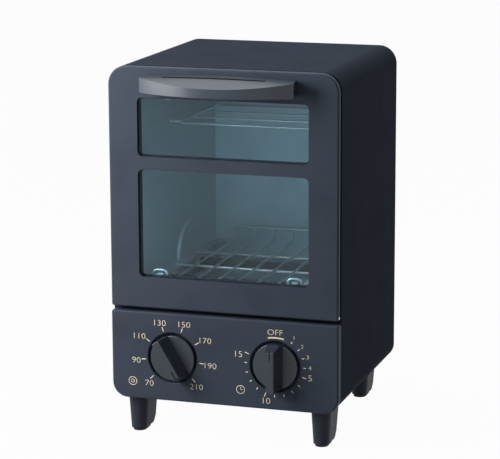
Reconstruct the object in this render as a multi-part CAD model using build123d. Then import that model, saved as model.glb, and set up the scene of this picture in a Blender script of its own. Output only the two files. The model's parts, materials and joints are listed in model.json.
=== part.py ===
from build123d import *
import math
import os

# Compact upright toaster oven. Millimetres, +Z up.
# While the pieces are drawn, x = 0 is the middle of the oven, y = 0 is the outer face
# of the closed door with +y towards the rear, and z = 0 is the surface it stands on.
# The last step moves y = 0 to the middle of the footprint.

# ---- Whole oven ----
BODY_WIDTH = 216.0
BODY_HEIGHT = 308.0
STAND_HEIGHT = 34.5
CASE_REAR_Y = 205.2
CASE_FRONT_Y = 8.5
CASE_SHEET = 0.8
TOP_CORNER_R = 17.0
BOTTOM_CORNER_R = 14.5
REAR_HEM_WIDTH = 8.0
LINER_SHEET = 0.6
FIT_GAP = 0.2
WELD_SINK = 0.15

CASE_BOTTOM_Z = STAND_HEIGHT
CASE_TOP_Z = CASE_BOTTOM_Z + BODY_HEIGHT

# ---- Control panel ----
PANEL_HEIGHT = 82.6
PANEL_RETURN = 8.2
FRONT_EDGE_R = 1.8
KNOB_SIDE_INSET = 59.0
KNOB_AXIS_HEIGHT = 41.0
DISH_DIAMETER = 47.5
DISH_DEPTH = 4.7

PANEL_TOP_Z = CASE_BOTTOM_Z + PANEL_HEIGHT
KNOB_SPACING = BODY_WIDTH - 2 * KNOB_SIDE_INSET
KNOB_Z = CASE_BOTTOM_Z + KNOB_AXIS_HEIGHT
KNOB_XS = (-KNOB_SPACING / 2, KNOB_SPACING / 2)
DISH_FLOOR_Y = DISH_DEPTH + CASE_SHEET

# ---- Door ----
DOOR_GAP = 3.9
DOOR_SIDE_CLEARANCE = 0.3
DOOR_DEPTH = 5.0
WINDOW_SIDE_MARGIN = 27.8
WINDOW_CORNER_R = 5.0
WINDOW_TOP_MARGIN = 27.7
UPPER_WINDOW_HEIGHT = 53.8
WINDOW_BAR = 11.6
WINDOW_BOTTOM_MARGIN = 28.8
WINDOW_LIP = 1.5
GLASS_THICKNESS = 3.0
GLASS_OVERLAP = 6.0

WINDOW_WIDTH = BODY_WIDTH - 2 * WINDOW_SIDE_MARGIN
DOOR_BOTTOM_Z = PANEL_TOP_Z + DOOR_GAP
DOOR_TOP_Z = CASE_TOP_Z
DOOR_WIDTH = BODY_WIDTH - 2 * DOOR_SIDE_CLEARANCE
UPPER_WINDOW_TOP_Z = DOOR_TOP_Z - WINDOW_TOP_MARGIN
UPPER_WINDOW_BOTTOM_Z = UPPER_WINDOW_TOP_Z - UPPER_WINDOW_HEIGHT
LOWER_WINDOW_TOP_Z = UPPER_WINDOW_BOTTOM_Z - WINDOW_BAR
LOWER_WINDOW_BOTTOM_Z = DOOR_BOTTOM_Z + WINDOW_BOTTOM_MARGIN
GLASS_FRONT_Y = CASE_SHEET + WINDOW_LIP + FIT_GAP
GLASS_BACK_Y = GLASS_FRONT_Y + GLASS_THICKNESS
INNER_FRAME_Y = GLASS_BACK_Y + FIT_GAP
INNER_FRAME_INSET = 9.0

# ---- Door hinge ----
HINGE_ROD_D = 2.8
HINGE_SETBACK = 3.4
HINGE_RISE = 2.4
HINGE_RUNNING_CLEARANCE = 0.05
HINGE_EAR_WALL = 0.9
HINGE_EAR_THICKNESS = 2.0
HINGE_NOTCH_WIDTH = 11.0

HINGE_Y = HINGE_SETBACK
HINGE_Z = DOOR_BOTTOM_Z + HINGE_RISE

# ---- Handle ----
HANDLE_LENGTH = 143.0
HANDLE_END_DEPTH = 18.0
HANDLE_MID_DEPTH = 36.5
HANDLE_BASE_DROP = 20.7
HANDLE_END_HEIGHT = 13.4
HANDLE_REAR_RISE = 2.6
HANDLE_FRONT_FALL = 5.2
HANDLE_WALL = 2.6
HANDLE_END_DRAFT = 3.3
HANDLE_SLOT_LENGTH = 95.0
HANDLE_SLOT_WIDTH = 2.6
HANDLE_SLOT_SETBACK = 9.5
HANDLE_SLOT_OFFSET = -4.5
HANDLE_BOSS_SPACING = 118.0
HANDLE_BOSS_D = 9.0
HANDLE_SCREW_D = 4.0

HANDLE_BASE_Z = DOOR_TOP_Z - HANDLE_BASE_DROP

# ---- Oven chamber ----
FRAME_GAP = 0.5
MOUTH_SIDE_MARGIN = 28.5
MOUTH_SILL = 12.4
MOUTH_HEAD = 22.0
MOUTH_CORNER_R = 6.0
CHAMBER_NARROWING = 13.0
CHAMBER_REAR_Y = 198.0
CHAMBER_TOP_DROP = 20.0
TROUGH_R = 40.0
TROUGH_RISE = 4.0
TROUGH_END_ROOM = 11.0
SHIELD_SHEET = 0.8

MOUTH_WIDTH = BODY_WIDTH - 2 * MOUTH_SIDE_MARGIN
CHAMBER_REAR_WIDTH = MOUTH_WIDTH - CHAMBER_NARROWING
REAR_SPACER_SPACING = CHAMBER_REAR_WIDTH - 26.0
FRAME_Y = CASE_FRONT_Y + FRAME_GAP
FRAME_BACK_Y = FRAME_Y + CASE_SHEET
FRAME_BOTTOM_Z = PANEL_TOP_Z + 0.3
SHIELD_Z = FRAME_BOTTOM_Z + CASE_SHEET
SHIELD_TOP_Z = SHIELD_Z + SHIELD_SHEET
MOUTH_BOTTOM_Z = PANEL_TOP_Z + MOUTH_SILL
MOUTH_TOP_Z = CASE_TOP_Z - MOUTH_HEAD
CHAMBER_TOP_Z = CASE_TOP_Z - CHAMBER_TOP_DROP
CHAMBER_DEPTH = CHAMBER_REAR_Y - FRAME_BACK_Y
WALL_SLANT = (MOUTH_WIDTH - CHAMBER_REAR_WIDTH) / 2 / CHAMBER_DEPTH

# ---- Crumb tray ----
TRAY_SIDE_ROOM = 10.5
TRAY_HEIGHT = 6.5
TRAY_SHEET = 0.6
TRAY_CLEARANCE = 0.3
TRAY_GUIDE_SHEET = 0.8
TRAY_GRIP_LENGTH = 12.0

TRAY_WIDTH = MOUTH_WIDTH - 2 * TRAY_SIDE_ROOM
TRAY_Z = SHIELD_TOP_Z + TRAY_CLEARANCE
TRAY_FRONT_Y = FRAME_BACK_Y + 5.0

# ---- Heaters ----
HEATER_D = 9.0
HEATER_WALL = 1.0
COIL_D = 4.6
HEATER_FIRST_Y = 72.0
HEATER_PITCH = 76.0
UPPER_HEATER_DROP = 15.0
LOWER_HEATER_RISE = 13.2
CAP_D = 12.0
CAP_FLANGE_D = 17.0
CAP_FLANGE = 2.0
CAP_BEHIND = 9.0
CAP_INSIDE = 3.0
CAP_CLEARANCE = 0.2

HEATER_YS = (HEATER_FIRST_Y, HEATER_FIRST_Y + HEATER_PITCH)
UPPER_HEATER_Z = CHAMBER_TOP_Z - UPPER_HEATER_DROP
LOWER_HEATER_Z = SHIELD_TOP_Z + LOWER_HEATER_RISE

# ---- Upper guard ----
GUARD_WIRE_D = 2.2
GUARD_RAIL_D = 2.5
GUARD_DROP = 43.5
GUARD_FIRST_Y = 84.0
GUARD_PITCH = 36.5
GUARD_COUNT = 4
GUARD_RAIL_INSET = 12.5
GUARD_RAIL_LEAD = 5.0
GUARD_BEND_R = 4.0
GUARD_HOLE_CLEARANCE = 0.2
GUARD_TAIL = 2.5

GUARD_RAIL_SPACING = MOUTH_WIDTH - 2 * GUARD_RAIL_INSET
GUARD_Z = CHAMBER_TOP_Z - GUARD_DROP
GUARD_RAIL_Y = GUARD_FIRST_Y - GUARD_RAIL_LEAD
GUARD_RAIL_Z = GUARD_Z + GUARD_WIRE_D / 2 + GUARD_RAIL_D / 2 - WELD_SINK
GUARD_HOLE_D = GUARD_RAIL_D + 2 * GUARD_HOLE_CLEARANCE

# ---- Wire rack ----
RACK_WIRE_D = 2.0
RACK_CROSS_D = 2.5
RACK_EDGE_INSET = 21.0
RACK_WIRE_COUNT = 6
RACK_HEIGHT = 31.4
RACK_FRONT_Y = 13.5
RACK_FENCE_Y = 187.0
RACK_FENCE_HEIGHT = 12.3
RACK_BEND_R = 4.0
RACK_SIDE_ROOM = 10.5
RACK_CROSS_COUNT = 3
RACK_CROSS_PITCH = 57.0
LOOP_WIDTH = 13.0
LOOP_HEIGHT = 6.4
LOOP_INSET = 5.0
LOOP_FORWARD = 2.0
SUPPORT_SHELF = 8.0
SUPPORT_SHEET = 0.8
SUPPORT_WEB = 5.0
SUPPORT_GAP = 0.15

RACK_CROSS_WIDTH = MOUTH_WIDTH - 2 * RACK_SIDE_ROOM
RACK_WIRE_PITCH = (RACK_CROSS_WIDTH - 2 * RACK_EDGE_INSET) / (RACK_WIRE_COUNT - 1)
LOOP_SPACING = RACK_CROSS_WIDTH - 2 * LOOP_INSET
RACK_Z = PANEL_TOP_Z + RACK_HEIGHT
CROSS_Z = RACK_Z - RACK_WIRE_D / 2 - RACK_CROSS_D / 2 + WELD_SINK
SUPPORT_TOP_Z = CROSS_Z - RACK_CROSS_D / 2 - SUPPORT_GAP
ARCH_Y = 126.5
ARCH_R = 34.5
ARCH_RELIEF = 2.2

# ---- Knobs and what they turn ----
KNOB_D = 42.0
KNOB_PROUD = 1.0
KNOB_BACK_GAP = 1.0
KNOB_BAR_HEIGHT = 16.5
KNOB_BAR_FACE = 7.0
KNOB_BAR_ROOT = 14.5
KNOB_BAR_SLOPE_END = 4.5
KNOB_WALL = 2.2
KNOB_BOSS_D = 11.0
CONTROL_PLATE_SHEET = 1.2
THERMOSTAT_PLATE_WIDTH = 44.0
THERMOSTAT_PLATE_HEIGHT = 26.0
THERMOSTAT_BODY_DEPTH = 15.0
TIMER_PLATE_WIDTH = 54.0
TIMER_PLATE_HEIGHT = 40.0
TIMER_DRUM_D = 46.0
TIMER_DRUM_DEPTH = 25.0
BELL_POST_LENGTH = 4.0
SHAFT_D = 6.0
SHAFT_FLAT = 1.5
SHAFT_CLEARANCE = 0.05
BUSHING_D = 9.4
BUSHING_REACH = 3.4
NUT_HEIGHT = 2.0
HEATER_KNOB_ANGLE = 149.0

KNOB_FRONT_Y = -KNOB_PROUD
KNOB_BACK_Y = DISH_DEPTH - KNOB_BACK_GAP
BUSHING_FRONT_Y = DISH_FLOOR_Y - BUSHING_REACH

# ---- Feet ----
FOOT_WIDTH = 19.0
FOOT_DEPTH = 33.0
FOOT_TAPER = 2.0
FRONT_FOOT_INSET = 20.0
REAR_FOOT_INSET = 28.0
FRONT_FOOT_Y = 7.0
REAR_FOOT_MARGIN = 0.7
PAD_HEIGHT = 2.5

FRONT_FOOT_X = BODY_WIDTH / 2 - FRONT_FOOT_INSET
REAR_FOOT_X = BODY_WIDTH / 2 - REAR_FOOT_INSET
REAR_FOOT_Y = CASE_REAR_Y - REAR_FOOT_MARGIN - FOOT_DEPTH

# ---- Rear ----
REAR_SCREW_D = 2.9
REAR_SCREW_INSET = 5.2
FOOT_SCREW_D = 4.0
FOOT_SCREW_LENGTH = 12.0
CORD_ENTRY_INSET = 30.0
CORD_ENTRY_RISE = 24.0
CORD_BORE_D = 7.2
BUSH_D = 12.0
BUSH_FLANGE_D = 17.0
BLOCK_OFFSET = 22.0
BLOCK_LENGTH = 34.0
BLOCK_DEPTH = 16.0
BLOCK_HEIGHT = 14.0
BLOCK_REAR_ROOM = 21.2
BLOCK_WAY_PITCH = 11.0
BLOCK_WAY_D = 5.0

CORD_ENTRY_X = BODY_WIDTH / 2 - CORD_ENTRY_INSET


def front_plane(y):
    """A sketch plane across the oven at depth y: local x is x, local y is z."""
    return Plane(origin=(0, y, 0), x_dir=(1, 0, 0), z_dir=(0, -1, 0))


def slab(sketch, y_front, y_back):
    """The sketch, drawn as seen from the front, given thickness between two depths."""
    return extrude(front_plane(y_back) * sketch, amount=y_back - y_front)


def floor_slab(sketch, z_low, z_high):
    """The sketch, drawn as seen from above, given thickness between two heights."""
    return extrude(Pos(0, 0, z_low) * sketch, amount=z_high - z_low)


def block(x0, x1, y0, y1, z0, z1):
    """A box between two corners."""
    size = (x1 - x0, y1 - y0, z1 - z0)
    return Pos((x0 + x1) / 2, (y0 + y1) / 2, (z0 + z1) / 2) * Box(*size)


def rod_x(x0, x1, y, z, diameter):
    """A round bar along x."""
    return Pos((x0 + x1) / 2, y, z) * Rot(0, 90, 0) * Cylinder(diameter / 2, x1 - x0)


def rod_y(x, y0, y1, z, diameter):
    """A round bar along y."""
    return Pos(x, (y0 + y1) / 2, z) * Rot(90, 0, 0) * Cylinder(diameter / 2, y1 - y0)


def rod_z(x, y, z0, z1, diameter):
    """A round bar along z."""
    return Pos(x, y, (z0 + z1) / 2) * Cylinder(diameter / 2, z1 - z0)


def outline(width, z_low, z_high, r_low, r_high):
    """A rectangle seen from the front with its own corner radius below and above."""
    face = Pos(0, (z_low + z_high) / 2) * Rectangle(width, z_high - z_low)
    if r_high > 0:
        face = fillet(face.vertices().group_by(Axis.Y)[-1], r_high)
    if r_low > 0:
        face = fillet(face.vertices().group_by(Axis.Y)[0], r_low)
    return face


def case_outline(inset):
    """The cross-section of the case, moved inwards by inset."""
    return outline(
        BODY_WIDTH - 2 * inset,
        CASE_BOTTOM_Z + inset,
        CASE_TOP_Z - inset,
        BOTTOM_CORNER_R - inset,
        TOP_CORNER_R - inset,
    )


def folded_pan(width, z_low, z_high, r_low, r_high, depth, sheet):
    """A pressed sheet pan, open at the back, with a rounded edge round its front."""
    solid = slab(outline(width, z_low, z_high, r_low, r_high), 0, depth)
    front_edges = solid.faces().sort_by(Axis.Y)[0].edges()
    solid = fillet(front_edges, FRONT_EDGE_R)
    hollow = slab(
        outline(width - 2 * sheet, z_low + sheet, z_high - sheet,
                max(r_low - sheet, 0.3), max(r_high - sheet, 0.3)),
        sheet,
        depth + 1,
    )
    inner_edges = hollow.faces().sort_by(Axis.Y)[0].edges()
    hollow = fillet(inner_edges, FRONT_EDGE_R - sheet)
    return solid - hollow


def wall_x(y):
    """Half the chamber's width, to the inner face of its side wall, at depth y."""
    return MOUTH_WIDTH / 2 - (y - FRAME_BACK_Y) * WALL_SLANT


def mirror_pair(piece):
    """The piece and its mirror image across the oven's middle plane."""
    return [piece, mirror(piece, about=Plane.YZ)]


def window_sketch(width_growth, z_low, z_high):
    """A rounded window opening, grown by width_growth all round."""
    return outline(
        WINDOW_WIDTH + 2 * width_growth,
        z_low - width_growth,
        z_high + width_growth,
        WINDOW_CORNER_R + width_growth,
        WINDOW_CORNER_R + width_growth,
    )


WINDOWS = (
    (LOWER_WINDOW_BOTTOM_Z, LOWER_WINDOW_TOP_Z),
    (UPPER_WINDOW_BOTTOM_Z, UPPER_WINDOW_TOP_Z),
)


# ---- Cabinet shell ----

def make_outer_case():
    """Wrapped sheet: top, sides and rounded bottom corners, with a hem at the rear."""
    shell = slab(case_outline(0), CASE_FRONT_Y, CASE_REAR_Y)
    shell -= slab(case_outline(CASE_SHEET), CASE_FRONT_Y - 1, CASE_REAR_Y - CASE_SHEET)
    shell -= slab(case_outline(REAR_HEM_WIDTH), CASE_REAR_Y - 5, CASE_REAR_Y + 1)
    underside = BODY_WIDTH / 2 - BOTTOM_CORNER_R - 14
    shell -= block(-underside, underside, CASE_FRONT_Y + 14, CASE_REAR_Y - REAR_HEM_WIDTH - 6,
                   CASE_BOTTOM_Z - 1, CASE_BOTTOM_Z + 2)
    return cut_foot_screw_holes(cut_back_screw_holes(shell))


def make_base_plate():
    """Louvred plate that closes the underside, lying on the case's bottom flanges."""
    half = BODY_WIDTH / 2 - BOTTOM_CORNER_R - FIT_GAP
    z0 = CASE_BOTTOM_Z + CASE_SHEET
    y0 = CASE_FRONT_Y + 2
    y1 = CASE_REAR_Y - 3
    plate = block(-half, half, y0, y1, z0, z0 + CASE_SHEET)
    slot = SlotOverall(38, 3.0)
    for column in range(3):
        for row in range(6):
            hole = Pos((column - 1) * 50, 62 + row * 16) * slot
            plate -= floor_slab(hole, z0 - 1, z0 + 2)
    return cut_foot_screw_holes(plate)


def make_back_panel():
    """Rear cover with two fields of vent slots, the tray slot and the cord hole."""
    y0 = CASE_REAR_Y
    y1 = y0 + CASE_SHEET
    panel = slab(case_outline(1.2), y0, y1)
    slot = SlotOverall(26, 3.0)
    for column in range(4):
        for row in range(5):
            x = (column - 1.5) * 36
            panel -= slab(Pos(x, CASE_TOP_Z - 30 - row * 9) * slot, y0 - 1, y1 + 1)
            if row < 3:
                panel -= slab(Pos(x * 0.7 - 22, CASE_BOTTOM_Z + 22 + row * 9) * slot, y0 - 1, y1 + 1)
    slot_low = TRAY_Z - 0.7
    slot_high = TRAY_Z + TRAY_HEIGHT + 1.2
    panel -= block(-TRAY_WIDTH / 2 - 1, TRAY_WIDTH / 2 + 1, y0 - 1, y1 + 1, slot_low, slot_high)
    panel -= rod_y(CORD_ENTRY_X, y0 - 1, y1 + 1, CASE_BOTTOM_Z + CORD_ENTRY_RISE, BUSH_D + 0.2)
    return cut_back_screw_holes(panel)


def make_control_panel():
    """Pressed front panel with a round dish behind each knob."""
    panel = folded_pan(BODY_WIDTH, CASE_BOTTOM_Z, PANEL_TOP_Z, BOTTOM_CORNER_R, 2.2,
                       PANEL_RETURN, CASE_SHEET)
    for x in KNOB_XS:
        cup = rod_y(x, 0.4, DISH_FLOOR_Y, KNOB_Z, DISH_DIAMETER + 2 * CASE_SHEET)
        panel += cup
        well = rod_y(x, -1, DISH_DEPTH, KNOB_Z, DISH_DIAMETER)
        panel -= well
        rim = panel.edges().filter_by(GeomType.CIRCLE)
        rim = rim.filter_by(lambda e: abs(e.radius - DISH_DIAMETER / 2) < 0.01 and abs(e.center().Y) < 0.01
                            and abs(e.arc_center.X - x) < 0.01)
        panel = chamfer(rim, 0.6)
        panel -= rod_y(x, 0, DISH_FLOOR_Y + 1, KNOB_Z, BUSHING_D + 0.4)
    return panel


# ---- Chamber ----

def make_front_frame():
    """Plate round the chamber's mouth, folded back along its outer edge."""
    inset = CASE_SHEET + FIT_GAP
    z_low = FRAME_BOTTOM_Z
    z_high = CASE_TOP_Z - inset
    width = BODY_WIDTH - 2 * inset
    radius = TOP_CORNER_R - inset
    fold = 9.0
    plate = slab(outline(width, z_low, z_high, 0, radius), FRAME_Y, FRAME_Y + fold)
    plate -= slab(
        outline(width - 2 * CASE_SHEET, z_low + CASE_SHEET, z_high - CASE_SHEET, 0, radius - CASE_SHEET),
        FRAME_BACK_Y,
        FRAME_Y + fold + 1,
    )
    mouth = outline(MOUTH_WIDTH, MOUTH_BOTTOM_Z, MOUTH_TOP_Z, MOUTH_CORNER_R, MOUTH_CORNER_R)
    return plate - slab(mouth, FRAME_Y - 1, FRAME_BACK_Y + 1)


def make_hinge_brackets():
    """Two ears on the front frame that carry the door's hinge rod."""
    ear_r = HINGE_ROD_D / 2 + HINGE_EAR_WALL
    bore_d = HINGE_ROD_D + 2 * HINGE_RUNNING_CLEARANCE
    brackets = []
    for x in KNOB_XS:
        x0 = x - HINGE_EAR_THICKNESS / 2
        x1 = x + HINGE_EAR_THICKNESS / 2
        ear = rod_x(x0, x1, HINGE_Y, HINGE_Z, 2 * ear_r)
        ear += block(x0, x1, HINGE_Y, FRAME_Y, HINGE_Z - ear_r, HINGE_Z + ear_r)
        ear += block(x0, x0 + 7, FRAME_Y - 1, FRAME_Y, HINGE_Z - ear_r, HINGE_Z + ear_r)
        ear -= rod_x(x0 - 1, x1 + 1, HINGE_Y, HINGE_Z, bore_d)
        brackets.append(ear)
    return brackets


def wall_plan(x_in, x_out, y0, y1):
    """Plan of a strip that follows the right-hand chamber wall between two offsets."""
    points = [
        (wall_x(y0) + x_in, y0),
        (wall_x(y0) + x_out, y0),
        (wall_x(y1) + x_out, y1),
        (wall_x(y1) + x_in, y1),
    ]
    return make_face(Polyline(*points, close=True))


def make_side_liner():
    """Right-hand chamber wall: a slanted sheet with an arched pressing at the rack."""
    wall = floor_slab(wall_plan(0, LINER_SHEET, FRAME_BACK_Y, CHAMBER_REAR_Y), SHIELD_TOP_Z, CHAMBER_TOP_Z)
    slant = math.degrees(math.atan(WALL_SLANT))
    # The arch is a half disc pressed inwards, with sloping sides and a closed bottom.
    on_wall = Location((wall_x(ARCH_Y), ARCH_Y, SUPPORT_TOP_Z), (0, 0, slant)) * Rot(0, -90, 0)
    outer = Cone(ARCH_R, ARCH_R - ARCH_RELIEF, ARCH_RELIEF, align=(Align.CENTER, Align.CENTER, Align.MIN))
    inner = Cone(ARCH_R - LINER_SHEET, ARCH_R - ARCH_RELIEF - LINER_SHEET, ARCH_RELIEF,
                 align=(Align.CENTER, Align.CENTER, Align.MIN))
    above = Pos(ARCH_R, 0, 0) * Box(2 * ARCH_R, 3 * ARCH_R, 4 * ARCH_RELIEF)
    hollow_above = Pos(LINER_SHEET, 0, 0) * above
    boss = on_wall * ((outer & above) - (Pos(0, 0, -LINER_SHEET) * inner & hollow_above))
    pressed_out = Cylinder(ARCH_R - LINER_SHEET, 3 * LINER_SHEET,
                           align=(Align.CENTER, Align.CENTER, Align.MIN))
    recess = on_wall * (Pos(0, 0, -2 * LINER_SHEET) * pressed_out & hollow_above)
    wall = wall - recess + boss
    for y in HEATER_YS:
        for z in (LOWER_HEATER_Z, UPPER_HEATER_Z):
            wall -= rod_x(wall_x(y) - 5, wall_x(y) + 5, y, z, CAP_D + 2 * CAP_CLEARANCE)
    guard_x = wall_x(GUARD_RAIL_Y)
    wall -= rod_x(guard_x - 5, guard_x + 5, GUARD_RAIL_Y, GUARD_RAIL_Z, GUARD_HOLE_D)
    return wall


def make_rack_support():
    """Right-hand angle strip that the rack slides on."""
    y0 = FRAME_BACK_Y + 3
    y1 = CHAMBER_REAR_Y - 4
    plan = wall_plan(-SUPPORT_SHEET - 0.05, -0.05, y0, y1)
    web = floor_slab(plan, SUPPORT_TOP_Z - SUPPORT_WEB, SUPPORT_TOP_Z)
    inner_x = RACK_CROSS_WIDTH / 2 - SUPPORT_SHELF / 2
    points = [(inner_x, y0), (wall_x(y0) - 0.05, y0), (wall_x(y1) - 0.05, y1), (inner_x, y1)]
    shelf = floor_slab(make_face(Polyline(*points, close=True)), SUPPORT_TOP_Z - SUPPORT_SHEET, SUPPORT_TOP_Z)
    return web + shelf


def make_ceiling_liner():
    """Top of the chamber with a shallow trough pressed up above each heater."""
    front = MOUTH_WIDTH / 2 + LINER_SHEET
    rear = CHAMBER_REAR_WIDTH / 2 + LINER_SHEET
    points = [(-front, FRAME_BACK_Y), (front, FRAME_BACK_Y), (rear, CHAMBER_REAR_Y + LINER_SHEET),
              (-rear, CHAMBER_REAR_Y + LINER_SHEET)]
    plan = make_face(Polyline(*points, close=True))
    plate = floor_slab(plan, CHAMBER_TOP_Z, CHAMBER_TOP_Z + LINER_SHEET)
    end_x = CHAMBER_REAR_WIDTH / 2 - TROUGH_END_ROOM
    for y in HEATER_YS:
        centre_z = CHAMBER_TOP_Z + TROUGH_RISE - TROUGH_R
        tube = rod_x(-end_x, end_x, y, centre_z, 2 * TROUGH_R)
        bore = rod_x(-end_x + LINER_SHEET, end_x - LINER_SHEET, y, centre_z,
                     2 * (TROUGH_R - LINER_SHEET))
        above = block(-end_x, end_x, y - TROUGH_R, y + TROUGH_R, CHAMBER_TOP_Z,
                      CHAMBER_TOP_Z + 2 * TROUGH_RISE)
        plate -= bore & Pos(0, 0, -LINER_SHEET) * above
        plate += (tube - bore) & above
    return plate


def make_back_liner():
    """Rear wall of the chamber, above the crumb tray's way out, with steam slots."""
    z_low = TRAY_Z + TRAY_HEIGHT + 1.5
    half = CHAMBER_REAR_WIDTH / 2 + LINER_SHEET
    wall = block(-half, half, CHAMBER_REAR_Y, CHAMBER_REAR_Y + LINER_SHEET, z_low, CHAMBER_TOP_Z)
    slot = SlotOverall(20, 2.6)
    for column in range(4):
        for row in range(2):
            hole = Pos((column - 1.5) * 30, CHAMBER_TOP_Z - 12 - row * 7) * slot
            wall -= slab(hole, CHAMBER_REAR_Y - 1, CHAMBER_REAR_Y + 2)
    for x in (-GUARD_RAIL_SPACING / 2, GUARD_RAIL_SPACING / 2):
        wall -= rod_y(x, CHAMBER_REAR_Y - 1, CHAMBER_REAR_Y + 2, GUARD_RAIL_Z, GUARD_HOLE_D)
    return wall


def make_rear_spacers():
    """Four tubes between the chamber's rear wall and the back panel."""
    spacers = []
    for x in (-REAR_SPACER_SPACING / 2, REAR_SPACER_SPACING / 2):
        for z in (CHAMBER_TOP_Z - 60, MOUTH_BOTTOM_Z + 24):
            spacers.append(rod_y(x, CHAMBER_REAR_Y + LINER_SHEET, CASE_REAR_Y, z, 8.0))
    return spacers


def make_bay_shield():
    """Level heat shield between the chamber and the control bay."""
    half = BODY_WIDTH / 2 - CASE_SHEET - FIT_GAP - CASE_SHEET
    return block(-half, half, FRAME_BACK_Y, CASE_REAR_Y - CASE_SHEET - FIT_GAP, SHIELD_Z, SHIELD_TOP_Z)


def make_tray_guide():
    """Right-hand folded guide that keeps the crumb tray straight and down."""
    x0 = TRAY_WIDTH / 2 + TRAY_CLEARANCE
    x1 = x0 + TRAY_GUIDE_SHEET
    y0 = TRAY_FRONT_Y
    y1 = CHAMBER_REAR_Y - 1
    top = TRAY_Z + TRAY_HEIGHT + TRAY_CLEARANCE
    guide = block(x0, x1, y0, y1, SHIELD_TOP_Z, top + TRAY_GUIDE_SHEET)
    guide += block(x0 - 3, x1, y0, y1, top, top + TRAY_GUIDE_SHEET)
    return guide


def make_crumb_tray():
    """Shallow folded tray with a turned-down grip that sticks out at the rear."""
    y0 = TRAY_FRONT_Y
    y1 = CASE_REAR_Y + CASE_SHEET + 1.0
    x1 = TRAY_WIDTH / 2
    tray = block(-x1, x1, y0, y1, TRAY_Z, TRAY_Z + TRAY_HEIGHT)
    tray -= block(-x1 + TRAY_SHEET, x1 - TRAY_SHEET, y0 + TRAY_SHEET, y1 - TRAY_SHEET,
                  TRAY_Z + TRAY_SHEET, TRAY_Z + TRAY_HEIGHT + 1)
    grip = block(-30, 30, y1 - TRAY_SHEET, y1 + TRAY_GRIP_LENGTH, TRAY_Z + TRAY_HEIGHT - 1.2,
                 TRAY_Z + TRAY_HEIGHT)
    grip += block(-30, 30, y1 + TRAY_GRIP_LENGTH - 1.2, y1 + TRAY_GRIP_LENGTH,
                  TRAY_Z + TRAY_HEIGHT - 5, TRAY_Z + TRAY_HEIGHT)
    grip = fillet(grip.edges().filter_by(Axis.X).sort_by(Axis.Y)[-1], 0.5)
    return tray + grip


# ---- Heaters ----

def make_heater_tube(y, z):
    """Quartz tube across the chamber, held in a ceramic cap at each end."""
    half = wall_x(y) + CAP_BEHIND - 2
    tube = rod_x(-half, half, y, z, HEATER_D)
    return tube - rod_x(-half - 1, half + 1, y, z, HEATER_D - 2 * HEATER_WALL)


def make_heater_coil(y, z):
    """Coiled resistance wire in the tube, as the coil's own outer cylinder."""
    half = wall_x(y) + CAP_BEHIND
    return rod_x(-half, half, y, z, COIL_D)


def make_heater_caps():
    """Ceramic end caps, one at each end of each tube, seated on the chamber's walls."""
    caps = []
    for y in HEATER_YS:
        for z in (LOWER_HEATER_Z, UPPER_HEATER_Z):
            x = wall_x(y)
            seat = x + LINER_SHEET + 0.35
            cap = rod_x(x - CAP_INSIDE, x + CAP_BEHIND + 2, y, z, CAP_D)
            cap += rod_x(seat, seat + CAP_FLANGE, y, z, CAP_FLANGE_D)
            cap -= rod_x(x - CAP_INSIDE - 1, x + CAP_BEHIND - 1.8, y, z, HEATER_D + 0.1)
            cap -= rod_x(x, x + CAP_BEHIND + 0.2, y, z, COIL_D + 0.1)
            caps += mirror_pair(cap)
    return caps


def make_upper_guard():
    """Wires across the chamber that keep food off the heaters, welded to two side rails.

    Each rail turns out through the side wall at its front and passes the rear wall behind.
    """
    rail_x = GUARD_RAIL_SPACING / 2
    outer_x = wall_x(GUARD_RAIL_Y) + LINER_SHEET + GUARD_TAIL
    rail = bent_wire(
        [(outer_x, GUARD_RAIL_Y, GUARD_RAIL_Z), (rail_x, GUARD_RAIL_Y, GUARD_RAIL_Z),
         (rail_x, CHAMBER_REAR_Y + LINER_SHEET + GUARD_TAIL, GUARD_RAIL_Z)],
        GUARD_BEND_R,
        GUARD_RAIL_D,
    )
    right, left = mirror_pair(rail)
    guard = right + left
    for i in range(GUARD_COUNT):
        y = GUARD_FIRST_Y + i * GUARD_PITCH
        guard += rod_x(-rail_x - 1, rail_x + 1, y, GUARD_Z, GUARD_WIRE_D)
    return guard


# ---- Wire rack ----

def rack_wire_xs():
    """Where the rack's long wires lie across it."""
    return [(i - (RACK_WIRE_COUNT - 1) / 2) * RACK_WIRE_PITCH for i in range(RACK_WIRE_COUNT)]


def bent_wire(points, radius, diameter):
    """A round wire along straight runs with equal bends between them."""
    path = FilletPolyline(*points, radius=radius)
    start = Plane(origin=path @ 0, z_dir=path % 0)
    return sweep(start * Circle(diameter / 2), path=path)


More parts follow.
